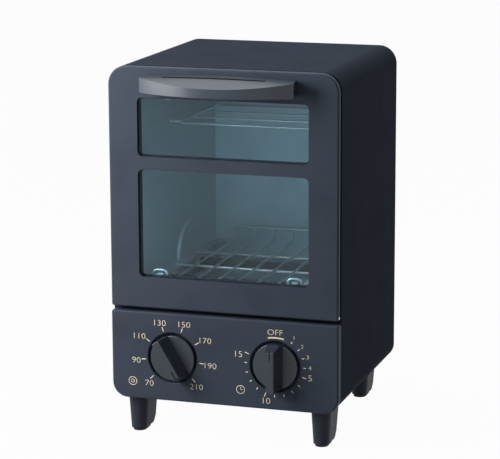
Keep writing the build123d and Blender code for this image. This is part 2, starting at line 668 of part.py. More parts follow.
def make_wire_rack():
    """Long wires turned up into a fence at the rear, on cross wires that ride the supports."""
    top_z = RACK_Z + RACK_FENCE_HEIGHT
    xs = rack_wire_xs()
    rack = None
    for x in xs:
        wire = bent_wire(
            [
                (x, RACK_FRONT_Y - RACK_CROSS_D / 2, RACK_Z),
                (x, RACK_FENCE_Y, RACK_Z),
                (x, RACK_FENCE_Y, top_z),
            ],
            RACK_BEND_R,
            RACK_WIRE_D,
        )
        rack = wire if rack is None else rack + wire
    rack += rod_x(xs[0] - 3, xs[-1] + 3, RACK_FENCE_Y, top_z, RACK_CROSS_D)
    for i in range(RACK_CROSS_COUNT):
        y = RACK_FRONT_Y + i * RACK_CROSS_PITCH
        rack += rod_x(-RACK_CROSS_WIDTH / 2, RACK_CROSS_WIDTH / 2, y, CROSS_Z, RACK_CROSS_D)
    loop_y = RACK_FRONT_Y - LOOP_FORWARD
    for x in (-LOOP_SPACING / 2, LOOP_SPACING / 2):
        x0 = x - LOOP_WIDTH / 2
        x1 = x + LOOP_WIDTH / 2
        z0 = CROSS_Z - RACK_CROSS_D / 2
        z1 = RACK_Z + LOOP_HEIGHT
        rack += bent_wire(
            [(x0, loop_y, z0), (x0, loop_y, z1), (x1, loop_y, z1), (x1, loop_y, z0)],
            RACK_BEND_R,
            RACK_WIRE_D,
        )
    return rack


# ---- Door ----

def make_door_panel():
    """Pressed outer skin of the door with two drawn window openings."""
    panel = folded_pan(DOOR_WIDTH, DOOR_BOTTOM_Z, DOOR_TOP_Z, 2.2, TOP_CORNER_R, DOOR_DEPTH, CASE_SHEET)
    for z_low, z_high in WINDOWS:
        lip = slab(window_sketch(CASE_SHEET, z_low, z_high), CASE_SHEET / 2, CASE_SHEET + WINDOW_LIP)
        panel += lip
        panel -= slab(window_sketch(0, z_low, z_high), -1, DOOR_DEPTH)
    for x in KNOB_XS:
        panel -= block(x - HINGE_NOTCH_WIDTH / 2, x + HINGE_NOTCH_WIDTH / 2, CASE_SHEET, DOOR_DEPTH + 1,
                       DOOR_BOTTOM_Z - 1, DOOR_BOTTOM_Z + CASE_SHEET + 1)
    panel -= rod_x(-BODY_WIDTH, BODY_WIDTH, HINGE_Y, HINGE_Z, HINGE_ROD_D + 0.1)
    for x in (-HANDLE_BOSS_SPACING / 2, HANDLE_BOSS_SPACING / 2):
        panel -= rod_y(x, -1, CASE_SHEET + 1, handle_screw_z(), HANDLE_SCREW_D + 0.3)
    return panel


def make_door_glass():
    """One toughened pane behind both windows."""
    pane = outline(
        WINDOW_WIDTH + 2 * GLASS_OVERLAP,
        LOWER_WINDOW_BOTTOM_Z - GLASS_OVERLAP,
        UPPER_WINDOW_TOP_Z + GLASS_OVERLAP - 1,
        3.0,
        3.0,
    )
    return slab(pane, GLASS_FRONT_Y, GLASS_BACK_Y)


def make_door_inner_frame():
    """Bright inner pressing that clamps the glass and stiffens the door."""
    z_low = DOOR_BOTTOM_Z + INNER_FRAME_INSET
    z_high = DOOR_TOP_Z - INNER_FRAME_INSET
    width = DOOR_WIDTH - 2 * INNER_FRAME_INSET
    back = INNER_FRAME_Y + CASE_SHEET
    rim_front = CASE_SHEET + 0.15
    frame = slab(outline(width, z_low, z_high, 4, 10), rim_front, back)
    frame -= slab(outline(width - 2 * CASE_SHEET, z_low + CASE_SHEET, z_high - CASE_SHEET, 4 - CASE_SHEET,
                          10 - CASE_SHEET), rim_front - 1, INNER_FRAME_Y)
    for z0, z1 in WINDOWS:
        frame -= slab(window_sketch(-1.2, z0, z1), INNER_FRAME_Y - 1, back + 1)
    for x, z in door_screw_places():
        frame -= rod_y(x, INNER_FRAME_Y - 1, back + 1, z, 3.3)
    return frame


def door_screw_places():
    """Where the inner frame is screwed to the door's spacers."""
    low = DOOR_BOTTOM_Z + INNER_FRAME_INSET + 6
    high = DOOR_TOP_Z - INNER_FRAME_INSET - 9
    x = (WINDOW_WIDTH / 2 + DOOR_WIDTH / 2 - INNER_FRAME_INSET) / 2
    return [(-x, low), (x, low), (-x, high), (x, high)]


def make_door_spacers():
    """Threaded spacers welded inside the door's skin."""
    spacers = []
    for x, z in door_screw_places():
        spacer = rod_y(x, CASE_SHEET, INNER_FRAME_Y, z, 6.0)
        spacers.append(spacer - rod_y(x, CASE_SHEET + 1, INNER_FRAME_Y + 1, z, 2.6))
    return spacers


def pan_head_screw(x, y_seat, z, shank_d, head_d, head_h, length, towards=-1):
    """Pan-head screw along y, seated at y_seat, with its tip towards -y or +y."""
    y_tip = y_seat + towards * length
    y_top = y_seat - towards * head_h
    screw = rod_y(x, min(y_seat, y_tip), max(y_seat, y_tip), z, shank_d)
    screw += rod_y(x, min(y_seat, y_top), max(y_seat, y_top), z, head_d)
    slot = block(x - head_d / 2, x + head_d / 2, min(y_top, y_top + towards * 0.6),
                 max(y_top, y_top + towards * 0.6), z - 0.4, z + 0.4)
    return screw - slot


def make_door_screws():
    """Screws that hold the inner frame to the spacers."""
    seat = INNER_FRAME_Y + CASE_SHEET
    return [pan_head_screw(x, seat, z, 2.5, 5.0, 0.9, 3.5) for x, z in door_screw_places()]


def make_rack_catches():
    """Two tabs on the inner frame that reach through the rack's loops."""
    y0 = INNER_FRAME_Y + CASE_SHEET
    y1 = RACK_FRONT_Y - LOOP_FORWARD + RACK_WIRE_D / 2 + 0.6
    z0 = RACK_Z + 1.5
    catches = []
    for x in (-LOOP_SPACING / 2, LOOP_SPACING / 2):
        tab = block(x - 2.5, x + 2.5, y0, y1, z0, z0 + 0.8)
        tab += block(x - 2.5, x + 2.5, y0, y0 + 0.8, z0 - 4.0, z0 + 0.8)
        tab += block(x - 2.5, x + 2.5, y1 - 0.8, y1, z0, z0 + 1.6)
        catches.append(tab)
    return catches


def make_hinge_rod():
    """Rod along the door's lower edge, carried in the skin's side returns."""
    half = DOOR_WIDTH / 2
    rod = rod_x(-half, half, HINGE_Y, HINGE_Z, HINGE_ROD_D)
    return rod


# ---- Handle ----

def handle_section(x, depth_cut, top_cut, base_z):
    """Section of the handle across x, cut back from the front and from the top."""
    along = 1 - (2 * x / HANDLE_LENGTH) ** 2
    depth = HANDLE_END_DEPTH + (HANDLE_MID_DEPTH - HANDLE_END_DEPTH) * along - depth_cut
    rear_z = HANDLE_BASE_Z + HANDLE_END_HEIGHT + HANDLE_REAR_RISE * along - top_cut
    front_z = HANDLE_BASE_Z + HANDLE_END_HEIGHT - HANDLE_FRONT_FALL * along - top_cut
    corners = [(0, base_z), (-depth, base_z), (-depth, front_z), (0, rear_z)]
    plane = Plane(origin=(x, 0, 0), x_dir=(0, 1, 0), z_dir=(1, 0, 0))
    return plane * make_face(Polyline(*corners, close=True))


def handle_loft(half, depth_cut, top_cut, base_z):
    """Smooth bar through five sections."""
    stations = [-half, -half / 2, 0, half / 2, half]
    return loft([handle_section(x, depth_cut, top_cut, base_z) for x in stations])


def handle_screw_z():
    """Height of the handle's screws."""
    return HANDLE_BASE_Z + 6.4


def make_handle():
    """Crescent pull: a sloping lens-shaped top over a deep front band, open below."""
    half = HANDLE_LENGTH / 2
    handle = handle_loft(half, 0, 0, HANDLE_BASE_Z)
    corners = handle.edges().filter_by(
        lambda e: abs(e.center().Y + HANDLE_END_DEPTH) < 0.01 and abs(abs(e.center().X) - half) < 0.01)
    handle = fillet(corners, 2.0)
    # Each end draws in from the front band towards the door.
    past_end = [
        (half - HANDLE_END_DRAFT, 0),
        (half, -HANDLE_END_DEPTH),
        (half + 1, -HANDLE_END_DEPTH),
        (half + 1, 0),
    ]
    plan = make_face(Polyline(*past_end, close=True))
    for end in mirror_pair(floor_slab(plan, HANDLE_BASE_Z - 1, DOOR_TOP_Z)):
        handle -= end
    hollow_half = half - HANDLE_WALL * 1.5 - HANDLE_END_DRAFT
    handle -= handle_loft(hollow_half, HANDLE_WALL, HANDLE_WALL, HANDLE_BASE_Z - 1)
    for x in (-HANDLE_BOSS_SPACING / 2, HANDLE_BOSS_SPACING / 2):
        boss = rod_y(x, -14, 0, handle_screw_z(), HANDLE_BOSS_D)
        boss += block(x - 1, x + 1, -14, 0, handle_screw_z(), HANDLE_BASE_Z + HANDLE_END_HEIGHT - 1)
        handle += boss
        handle -= rod_y(x, -12, 1, handle_screw_z(), HANDLE_SCREW_D + 0.1)
    slot = Pos(HANDLE_SLOT_OFFSET, -HANDLE_SLOT_SETBACK) * SlotOverall(HANDLE_SLOT_LENGTH, HANDLE_SLOT_WIDTH)
    handle -= floor_slab(slot, HANDLE_BASE_Z + 3, HANDLE_BASE_Z + 30)
    return handle


def make_handle_screws():
    """Screws through the door's skin into the handle's bosses."""
    places = (-HANDLE_BOSS_SPACING / 2, HANDLE_BOSS_SPACING / 2)
    return [pan_head_screw(x, CASE_SHEET, handle_screw_z(), HANDLE_SCREW_D, 7.0, 1.8, 10) for x in places]


# ---- Knobs and controls ----

def knob_solid():
    """Turning knob about the y axis at the origin, pointer straight up."""
    disc = rod_y(0, KNOB_FRONT_Y, KNOB_BACK_Y, 0, KNOB_D)
    disc = fillet(disc.edges().sort_by(Axis.Y)[0], 0.9)
    face_y = KNOB_FRONT_Y - KNOB_BAR_HEIGHT
    profile = [
        (-KNOB_BAR_ROOT / 2, KNOB_FRONT_Y),
        (KNOB_BAR_ROOT / 2, KNOB_FRONT_Y),
        (KNOB_BAR_FACE / 2, face_y),
        (-KNOB_BAR_FACE / 2, face_y),
    ]
    bar = extrude(Pos(0, 0, -KNOB_D / 2) * make_face(Polyline(*profile, close=True)), amount=KNOB_D)
    bar = bar & rod_y(0, face_y - 1, KNOB_BACK_Y, 0, KNOB_D)
    wedge = [
        (face_y - 1, KNOB_D / 2 - KNOB_BAR_SLOPE_END),
        (face_y - 1, KNOB_D / 2 + 1),
        (KNOB_FRONT_Y - 1, KNOB_D / 2 + 1),
    ]
    side = Plane(origin=(0, 0, 0), x_dir=(0, 1, 0), z_dir=(1, 0, 0))
    bar -= extrude(side * make_face(Polyline(*wedge, close=True)), amount=KNOB_D, both=True)
    bar = fillet(bar.faces().sort_by(Axis.Y)[0].edges(), 0.8)
    knob = disc + bar
    knob -= block(-0.55, 0.55, face_y - 1, face_y + 1.1, KNOB_D / 2 - KNOB_BAR_SLOPE_END - 7, KNOB_D / 2)
    hollow = rod_y(0, KNOB_FRONT_Y + KNOB_WALL, KNOB_BACK_Y + 1, 0, KNOB_D - 2 * KNOB_WALL)
    hollow -= rod_y(0, KNOB_FRONT_Y, BUSHING_FRONT_Y - 0.6, 0, KNOB_BOSS_D)
    knob -= hollow
    return knob - shaft_solid(SHAFT_CLEARANCE)


def shaft_solid(growth):
    """D-shaped spindle about the y axis at the origin, flat side up."""
    reach = KNOB_BAR_HEIGHT * 0.6
    shaft = rod_y(0, -reach - growth, DISH_FLOOR_Y + 9, 0, SHAFT_D + 2 * growth)
    flat = SHAFT_D / 2 - SHAFT_FLAT + growth
    return shaft - block(-SHAFT_D, SHAFT_D, -reach - 2, KNOB_BACK_Y, flat, SHAFT_D)


def at_knob(side, shape, turn=0):
    """Put a piece drawn about the y axis on the left (0) or right (1) knob's axis."""
    return Pos(KNOB_XS[side], 0, KNOB_Z) * Rot(0, turn, 0) * shape


def control_front(plate_width, plate_height):
    """Mounting plate and threaded bushing shared by both controls."""
    y0 = DISH_FLOOR_Y
    back = y0 + CONTROL_PLATE_SHEET
    body = block(-plate_width / 2, plate_width / 2, y0, back, -plate_height / 2, plate_height / 2)
    body += rod_y(0, BUSHING_FRONT_Y, back, 0, BUSHING_D)
    return body


def bore_for_shaft(body):
    """Running bore for the spindle through the bushing and into the body."""
    return body - rod_y(0, 0, DISH_FLOOR_Y + 10, 0, SHAFT_D + 2 * SHAFT_CLEARANCE)


def make_thermostat():
    """Bimetal thermostat: ceramic stack on a plate with two blade terminals."""
    y0 = DISH_FLOOR_Y + CONTROL_PLATE_SHEET
    body = control_front(THERMOSTAT_PLATE_WIDTH, THERMOSTAT_PLATE_HEIGHT)
    back = y0 + THERMOSTAT_BODY_DEPTH
    body += block(-15, 15, y0, back, -11, 11)
    body += block(-20, 20, back, back + 1, -5, 5)
    body += rod_y(-12, back + 1, back + 6, 0, 6)
    for x in (-17.5, 17.5):
        body += block(x - 3.15, x + 3.15, back, back + 9, -0.4, 0.4)
    return bore_for_shaft(body)


def make_timer():
    """Clockwork timer: drum on a plate with terminals behind it."""
    y0 = DISH_FLOOR_Y + CONTROL_PLATE_SHEET
    body = control_front(TIMER_PLATE_WIDTH, TIMER_PLATE_HEIGHT)
    drum_back = y0 + TIMER_DRUM_DEPTH
    body += rod_y(0, y0, drum_back, 0, TIMER_DRUM_D)
    for x in (-9, 9):
        body += block(x - 3.15, x + 3.15, drum_back, drum_back + 8, -18.4, -17.6)
    body += rod_y(0, drum_back, drum_back + BELL_POST_LENGTH, 0, 5)
    return bore_for_shaft(body)


def make_timer_bell():
    """Dome that the timer strikes when it runs out."""
    y0 = DISH_FLOOR_Y + CONTROL_PLATE_SHEET + TIMER_DRUM_DEPTH + BELL_POST_LENGTH
    dome = rod_y(0, y0, y0 + 8, 0, 34)
    dome = fillet(dome.edges().sort_by(Axis.Y)[-1], 6)
    hollow = rod_y(0, y0 - 1, y0 + 7.2, 0, 32.4)
    hollow = fillet(hollow.edges().sort_by(Axis.Y)[-1], 5)
    post = rod_y(0, y0, y0 + 7.6, 0, 5)
    return at_knob(1, dome - hollow + post)


def make_bushing_nuts():
    """Hexagon nuts that clamp the two controls to the floors of the dishes."""
    nuts = []
    for side in (0, 1):
        blank = slab(RegularPolygon(6.5, 6), DISH_DEPTH - NUT_HEIGHT, DISH_DEPTH)
        nuts.append(at_knob(side, blank - rod_y(0, -5, 9, 0, BUSHING_D)))
    return nuts


# ---- Feet, fasteners and wiring ends ----

def foot_profile(width, depth):
    """Plan of a foot: a round nose to the front and flat sides running back."""
    nose = Pos(0, width / 2) * Circle(width / 2)
    tail = Pos(0, (width / 2 + depth) / 2) * Rectangle(width, depth - width / 2)
    return nose + tail


def make_foot(x, y):
    """Tapered moulded foot with its rear lower corner cut away."""
    top = Pos(x, y, CASE_BOTTOM_Z) * foot_profile(FOOT_WIDTH, FOOT_DEPTH)
    bottom = Pos(x, y + FOOT_TAPER, PAD_HEIGHT) * foot_profile(
        FOOT_WIDTH - 2 * FOOT_TAPER, FOOT_DEPTH - 2 * FOOT_TAPER)
    foot = loft([bottom.face(), top.face()])
    heel = [(y + FOOT_DEPTH - 7, PAD_HEIGHT - 1), (y + FOOT_DEPTH + 1, PAD_HEIGHT - 1),
            (y + FOOT_DEPTH + 1, PAD_HEIGHT + 9)]
    side = Plane(origin=(x, 0, 0), x_dir=(0, 1, 0), z_dir=(1, 0, 0))
    foot -= extrude(side * make_face(Polyline(*heel, close=True)), amount=FOOT_WIDTH, both=True)
    return foot - rod_z(x, y + FOOT_DEPTH / 2, CASE_BOTTOM_Z - FOOT_SCREW_LENGTH, CASE_BOTTOM_Z + 1,
                        FOOT_SCREW_D + 0.1)


def foot_places():
    """Name and front corner of each foot."""
    return [
        ("foot_front_left", -FRONT_FOOT_X, FRONT_FOOT_Y),
        ("foot_front_right", FRONT_FOOT_X, FRONT_FOOT_Y),
        ("foot_rear_left", -REAR_FOOT_X, REAR_FOOT_Y),
        ("foot_rear_right", REAR_FOOT_X, REAR_FOOT_Y),
    ]


def make_foot_pads():
    """Rubber pad under each foot."""
    pads = []
    for _, x, y in foot_places():
        plan = Pos(x, y + FOOT_TAPER + 2) * foot_profile(FOOT_WIDTH - 2 * FOOT_TAPER - 3, FOOT_DEPTH - 15)
        pads.append(floor_slab(plan, 0, PAD_HEIGHT))
    return pads


def cut_foot_screw_holes(sheet):
    """Clear holes for the foot screws."""
    for _, x, y in foot_places():
        sheet -= rod_z(x, y + FOOT_DEPTH / 2, CASE_BOTTOM_Z - 3, CASE_BOTTOM_Z + 3, FOOT_SCREW_D + 0.4)
    return sheet


def make_foot_screws():
    """Screws down through the base plate and the case into the feet."""
    screws = []
    z = CASE_BOTTOM_Z + 2 * CASE_SHEET
    for _, x, y in foot_places():
        screw = rod_z(x, y + FOOT_DEPTH / 2, z, z + 2.2, 8)
        screw += rod_z(x, y + FOOT_DEPTH / 2, z - FOOT_SCREW_LENGTH, z, FOOT_SCREW_D)
        screws.append(screw)
    return screws


def back_screw_places():
    """Where the back panel is screwed to the case's rear hem."""
    x = BODY_WIDTH / 2 - REAR_SCREW_INSET
    return [(-x, CASE_BOTTOM_Z + 40), (x, CASE_BOTTOM_Z + 40), (-x, CASE_TOP_Z - 40), (x, CASE_TOP_Z - 40),
            (0, CASE_TOP_Z - REAR_SCREW_INSET), (0, CASE_BOTTOM_Z + REAR_SCREW_INSET)]


def cut_back_screw_holes(sheet):
    """Clear holes for the back screws."""
    for x, z in back_screw_places():
        sheet -= rod_y(x, CASE_REAR_Y - 3, CASE_REAR_Y + 3, z, REAR_SCREW_D + 0.2)
    return sheet


def make_back_screws():
    """Screws round the edge of the back panel."""
    seat = CASE_REAR_Y + CASE_SHEET
    return [pan_head_screw(x, seat, z, REAR_SCREW_D, 6.0, 1.6, 3.0) for x, z in back_screw_places()]


def make_cord_bushing():
    """Strain relief bushing in the back panel where the supply cord enters."""
    z = CASE_BOTTOM_Z + CORD_ENTRY_RISE
    y = CASE_REAR_Y
    bush = rod_y(CORD_ENTRY_X, y - 6, y + CASE_SHEET, z, BUSH_D)
    bush += rod_y(CORD_ENTRY_X, y + CASE_SHEET, y + CASE_SHEET + 4, z, BUSH_FLANGE_D)
    bush += rod_y(CORD_ENTRY_X, y - 6, y - 3, z, BUSH_D + 2.5)
    return bush - rod_y(CORD_ENTRY_X, y - 7, y + 8, z, CORD_BORE_D)


def make_terminal_block():
    """Three-way terminal block on the base plate behind the cord entry."""
    z = CASE_BOTTOM_Z + 2 * CASE_SHEET
    x = CORD_ENTRY_X - BLOCK_OFFSET
    rear = CASE_REAR_Y - BLOCK_REAR_ROOM
    body = block(x - BLOCK_LENGTH / 2, x + BLOCK_LENGTH / 2, rear - BLOCK_DEPTH, rear, z, z + BLOCK_HEIGHT)
    for i in range(3):
        way_x = x + (i - 1) * BLOCK_WAY_PITCH
        body -= rod_z(way_x, rear - BLOCK_DEPTH / 2, z + BLOCK_HEIGHT - 4, z + BLOCK_HEIGHT + 1, BLOCK_WAY_D)
    return body


# ---- Assembly ----

def all_parts():
    """Every piece by name."""
    parts = {
        "outer_case": make_outer_case(),
        "base_plate": make_base_plate(),
        "back_panel": make_back_panel(),
        "control_panel": make_control_panel(),
        "front_frame": make_front_frame(),
        "hinge_brackets": make_hinge_brackets(),
        "ceiling_liner": make_ceiling_liner(),
        "back_liner": make_back_liner(),
        "rear_spacers": make_rear_spacers(),
        "bay_shield": make_bay_shield(),
        "heater_caps": make_heater_caps(),
        "upper_guard": make_upper_guard(),
        "thermostat": at_knob(0, make_thermostat()),
        "timer": at_knob(1, make_timer()),
        "timer_bell": make_timer_bell(),
        "bushing_nuts": make_bushing_nuts(),
        "terminal_block": make_terminal_block(),
        "cord_bushing": make_cord_bushing(),
        "foot_pads": make_foot_pads(),
        "foot_screws": make_foot_screws(),
        "back_screws": make_back_screws(),
        "crumb_tray": make_crumb_tray(),
        "wire_rack": make_wire_rack(),
        "door_panel": make_door_panel(),
        "door_glass": make_door_glass(),
        "door_inner_frame": make_door_inner_frame(),
        "door_spacers": make_door_spacers(),
        "door_screws": make_door_screws(),
        "rack_catches": make_rack_catches(),
        "hinge_rod": make_hinge_rod(),
        "door_handle": make_handle(),
        "handle_screws": make_handle_screws(),
        "heater_knob": at_knob(0, knob_solid(), HEATER_KNOB_ANGLE),
        "thermostat_shaft": at_knob(0, shaft_solid(0), HEATER_KNOB_ANGLE),
        "timer_knob": at_knob(1, knob_solid()),
        "timer_shaft": at_knob(1, shaft_solid(0)),
    }
    pairs = {
        "side_liner": make_side_liner(),
        "rack_support": make_rack_support(),
        "tray_guide": make_tray_guide(),
    }
    for name, piece in pairs.items():
        right, left = mirror_pair(piece)
        parts[name + "_right"] = right
        parts[name + "_left"] = left
    for level, z in (("lower", LOWER_HEATER_Z), ("upper", UPPER_HEATER_Z)):
        for place, y in zip(("front", "rear"), HEATER_YS):
            parts[level + "_heater_tube_" + place] = make_heater_tube(y, z)
            parts[level + "_heater_coil_" + place] = make_heater_coil(y, z)
    for name, x, y in foot_places():
        parts[name] = make_foot(x, y)
    return parts


def write_parts():
    """Centre the footprint on the origin and write one file for each piece."""
    os.makedirs("parts", exist_ok=True)
    parts = all_parts()
    front_y = -HANDLE_MID_DEPTH
    rear_y = parts["crumb_tray"].bounding_box().max.Y
    centre = Pos(0, -(front_y + rear_y) / 2, 0)
    for name, piece in parts.items():
        solids = piece if isinstance(piece, list) else [piece]
        placed = [centre * solid for solid in solids]
        shape = placed[0] if len(placed) == 1 else Compound(children=placed)
        export_step(shape, "parts/" + name + ".step")


write_parts()
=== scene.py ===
import json
import math

import bpy
from mathutils import Matrix, Vector


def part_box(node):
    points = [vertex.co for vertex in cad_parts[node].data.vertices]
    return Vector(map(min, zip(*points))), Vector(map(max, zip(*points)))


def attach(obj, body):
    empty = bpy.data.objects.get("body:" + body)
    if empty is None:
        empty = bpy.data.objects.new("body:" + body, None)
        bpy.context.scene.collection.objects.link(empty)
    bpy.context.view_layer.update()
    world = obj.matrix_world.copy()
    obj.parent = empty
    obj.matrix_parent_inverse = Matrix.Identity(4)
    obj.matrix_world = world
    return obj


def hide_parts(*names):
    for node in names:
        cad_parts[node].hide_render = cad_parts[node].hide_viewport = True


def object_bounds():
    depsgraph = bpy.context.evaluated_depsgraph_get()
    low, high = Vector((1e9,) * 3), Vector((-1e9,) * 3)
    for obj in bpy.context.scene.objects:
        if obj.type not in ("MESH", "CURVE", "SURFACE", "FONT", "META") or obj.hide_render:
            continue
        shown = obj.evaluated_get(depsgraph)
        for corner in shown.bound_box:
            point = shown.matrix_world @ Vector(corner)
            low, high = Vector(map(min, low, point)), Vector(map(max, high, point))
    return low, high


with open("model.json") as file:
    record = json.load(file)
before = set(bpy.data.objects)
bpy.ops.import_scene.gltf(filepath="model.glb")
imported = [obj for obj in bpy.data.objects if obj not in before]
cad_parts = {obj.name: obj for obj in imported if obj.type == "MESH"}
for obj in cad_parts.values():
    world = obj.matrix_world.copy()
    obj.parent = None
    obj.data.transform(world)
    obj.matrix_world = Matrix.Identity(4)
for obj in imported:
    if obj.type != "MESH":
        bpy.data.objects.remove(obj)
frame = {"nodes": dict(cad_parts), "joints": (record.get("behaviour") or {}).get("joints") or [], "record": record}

MM = 0.001
nodes = frame["nodes"]
cad_box = [list(corner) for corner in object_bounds()]
bpy.context.scene.view_settings.view_transform = "Standard"

# ---- Shared steps ----


def linear(hex_colour):
    """An sRGB hex colour as linear red, green, blue and alpha."""
    channels = [int(hex_colour[i:i + 2], 16) / 255 for i in (1, 3, 5)]
    return [c / 12.92 if c <= 0.04045 else ((c + 0.055) / 1.055) ** 2.4 for c in channels] + [1.0]


def add_node(tree, kind, links=None, **settings):
    """Adds a shader node. Settings that are not properties of the node go to its sockets."""
    node = tree.nodes.new("ShaderNode" + kind)
    for name, value in settings.items():
        socket = name.replace("_", " ").title() if not hasattr(node, name) else None
        if socket is None:
            setattr(node, name, value)
        else:
            node.inputs[socket].default_value = value
    for socket, source in (links or {}).items():
        tree.links.new(source, node.inputs[socket])
    return node


def nothing_selected():
    if bpy.context.object and bpy.context.object.mode != "OBJECT":
        bpy.ops.object.mode_set(mode="OBJECT")
    bpy.ops.object.select_all(action="DESELECT")


def settle(piece, name, material, body):
    """Names a finished piece, leaves its place in its mesh, and puts it on its body."""
    nothing_selected()
    piece.select_set(True)
    bpy.context.view_layer.objects.active = piece
    bpy.ops.object.transform_apply(location=True, rotation=True, scale=True)
    piece.name = name
    piece.data.name = name
    piece.data.materials.clear()
    piece.data.materials.append(material)
    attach(piece, body)
    return piece


def joined(pieces):
    """Several meshes as one."""
    nothing_selected()
    for piece in pieces:
        piece.select_set(True)
    bpy.context.view_layer.objects.active = pieces[0]
    bpy.ops.object.join()
    return bpy.context.object


# ---- Materials ----


def blank_material(name):
    """A material with only a shader and its output."""
    material = bpy.data.materials.new(name)
    material.use_nodes = True
    tree = material.node_tree
    tree.nodes.clear()
    shader = add_node(tree, "BsdfPrincipled")
    out = add_node(tree, "OutputMaterial")
    tree.links.new(shader.outputs["BSDF"], out.inputs["Surface"])
    return material, tree, shader


FINEST_GRAIN = 0.8


def finish(name, dark, light, roughness, grain_mm, relief_mm, metallic=0.0, uneven=0.06,
           mottle_mm=40.0, stretch=(1, 1, 1), specular=0.5):
    """A surface whose colour drifts between two hexes, with fine grain in its relief and gloss.

    Grain and mottle are real sizes. Grain under about 0.8 mm is drawn at that, the finest that shows.
    """
    material, tree, shader = blank_material(name)
    place = add_node(tree, "TexCoord")
    along = add_node(tree, "Mapping", {"Vector": place.outputs["Object"]}, Scale=stretch)
    grain_scale = 1 / (max(grain_mm, FINEST_GRAIN) * MM)
    grain = add_node(tree, "TexNoise", {"Vector": along.outputs["Vector"]},
                     Scale=grain_scale, Detail=3.0)
    mottle = add_node(tree, "TexNoise", {"Vector": along.outputs["Vector"]},
                      Scale=1 / (mottle_mm * MM), Detail=4.0)
    both = add_node(tree, "Math", {0: mottle.outputs["Fac"], 1: grain.outputs["Fac"]},
                    operation="ADD")
    ramp = add_node(tree, "ValToRGB", {"Fac": both.outputs["Value"]})
    ramp.color_ramp.elements[0].position = 0.75
    ramp.color_ramp.elements[0].color = linear(dark)
    ramp.color_ramp.elements[1].position = 1.25
    ramp.color_ramp.elements[1].color = linear(light)
    gloss = add_node(tree, "MapRange", {"Value": grain.outputs["Fac"]})
    gloss.inputs["To Min"].default_value = roughness - uneven
    gloss.inputs["To Max"].default_value = roughness + uneven
    relief = add_node(tree, "Bump", {"Height": grain.outputs["Fac"]},
                      Strength=1.0, Distance=relief_mm * MM)
    tree.links.new(ramp.outputs["Color"], shader.inputs["Base Color"])
    tree.links.new(gloss.outputs["Result"], shader.inputs["Roughness"])
    tree.links.new(relief.outputs["Normal"], shader.inputs["Normal"])
    shader.inputs["Metallic"].default_value = metallic
    if metallic < 0.5:
        shader.inputs["Specular IOR Level"].default_value = specular
    return material


GLASS_IOR = 1.52
QUARTZ_IOR = 1.46
NO_BENDING = 1.001


def see_through(name, tint, roughness, alpha, ior, ripple_mm, specular=0.5, gloss=0.0):
    """Glass or quartz: transmits, and lets some light straight through so the chamber is lit."""
    material, tree, shader = blank_material(name)
    place = add_node(tree, "TexCoord")
    ripple = add_node(tree, "TexNoise", {"Vector": place.outputs["Object"]},
                      Scale=1 / (ripple_mm * MM), Detail=2.0)
    relief = add_node(tree, "Bump", {"Height": ripple.outputs["Fac"]},
                      Strength=0.2, Distance=0.01 * MM)
    tree.links.new(relief.outputs["Normal"], shader.inputs["Normal"])
    shader.inputs["Base Color"].default_value = linear(tint)
    shader.inputs["Roughness"].default_value = roughness
    shader.inputs["Transmission Weight"].default_value = 1.0
    shader.inputs["IOR"].default_value = ior
    shader.inputs["Alpha"].default_value = alpha
    shader.inputs["Specular IOR Level"].default_value = specular
    shader.inputs["Coat Weight"].default_value = gloss
    shader.inputs["Coat Roughness"].default_value = roughness
    shader.inputs["Coat IOR"].default_value = GLASS_IOR
    return material


def darken_slot(material, low, high, dark):
    """Paints shade, near black, on the walls of a narrow slot, between two corners, where hardly any light gets
    in.
    """
    tree = material.node_tree
    shader = next(node for node in tree.nodes if node.type == "BSDF_PRINCIPLED")
    place = add_node(tree, "TexCoord")
    axes = add_node(tree, "SeparateXYZ", {"Vector": place.outputs["Object"]})
    inside = None
    for name, start, end in zip("XYZ", low, high):
        above = add_node(tree, "Math", {0: axes.outputs[name]}, operation="GREATER_THAN")
        above.inputs[1].default_value = start
        below = add_node(tree, "Math", {0: axes.outputs[name]}, operation="LESS_THAN")
        below.inputs[1].default_value = end
        both = add_node(tree, "Math", {0: above.outputs["Value"], 1: below.outputs["Value"]},
                        operation="MULTIPLY")
        inside = both if inside is None else add_node(
            tree, "Math", {0: inside.outputs["Value"], 1: both.outputs["Value"]}, operation="MULTIPLY")
    mix = add_node(tree, "MixRGB", {"Fac": inside.outputs["Value"]})
    tree.links.new(shader.inputs["Base Color"].links[0].from_socket, mix.inputs[1])
    mix.inputs[2].default_value = linear(dark)
    tree.links.new(mix.outputs["Color"], shader.inputs["Base Color"])
    satin = shader.inputs["Roughness"].links[0].from_socket
    rough = add_node(tree, "Math", {0: inside.outputs["Value"], 1: satin}, operation="MAXIMUM")
    tree.links.new(rough.outputs["Value"], shader.inputs["Roughness"])


# Polyester powder coat on folded sheet steel: matt, with a very fine orange peel.
front_coat = finish("powder_coat_front", "#343c48", "#3c4450", 0.60, 0.8, 0.016, specular=0.12)
case_coat = finish("powder_coat_case", "#262c35", "#2c323c", 0.72, 0.8, 0.014, specular=0.01)
# Hot-dip galvanised sheet: dull grey, with a faint spangle some millimetres across.
galvanised = finish("galvanised_sheet", "#a0a4a6", "#a7abad", 0.48, 3.0, 0.002, metallic=1.0,
                    uneven=0.04, mottle_mm=6.0)
# Aluminised steel sheet, rolled: pale satin metal with a fine grain along its length.
aluminised = finish("aluminised_sheet", "#b4babd", "#c4c9cc", 0.62, 0.8, 0.004, metallic=0.9,
                    stretch=(1, 0.15, 1))
# Bright nickel plate on drawn wire.
nickel_wire = finish("nickel_plated_wire", "#c2c3c2", "#d0d1cf", 0.34, 0.8, 0.002, metallic=1.0,
                     uneven=0.04)
# Zinc plate on small steel parts.
zinc = finish("zinc_plate", "#a4a6a4", "#b8bab6", 0.34, 0.8, 0.003, metallic=1.0)
